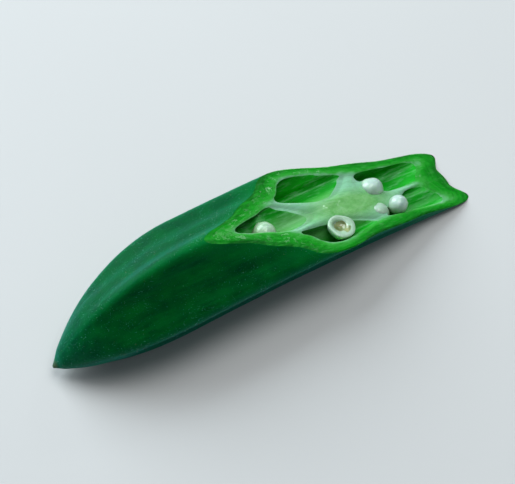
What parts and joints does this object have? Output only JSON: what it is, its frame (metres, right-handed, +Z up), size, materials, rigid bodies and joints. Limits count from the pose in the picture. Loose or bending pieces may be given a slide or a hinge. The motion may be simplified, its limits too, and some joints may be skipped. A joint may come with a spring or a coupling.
{
  "type": "okra pod",
  "caption": "Tip half of a ribbed okra pod cut on a long slant, hollow with seed chambers round a pale core, seeds showing in the cut.",
  "frame": {"origin": "middle of the overall box on X and Y, at the flat underside the pod lies on", "axes": "+X along the pod from its tip to the end of the slanting cut, +Z up, with one ridge and the cut face on top"},
  "size_m": [0.0778, 0.02, 0.0179],
  "materials": {
    "okra_flesh": "wet, blanched plant flesh: glossy dark green skin, pale green cut face"
  },
  "bodies": {
    "root": {"okra_pod": "okra_flesh"}
  },
  "joints": []
}
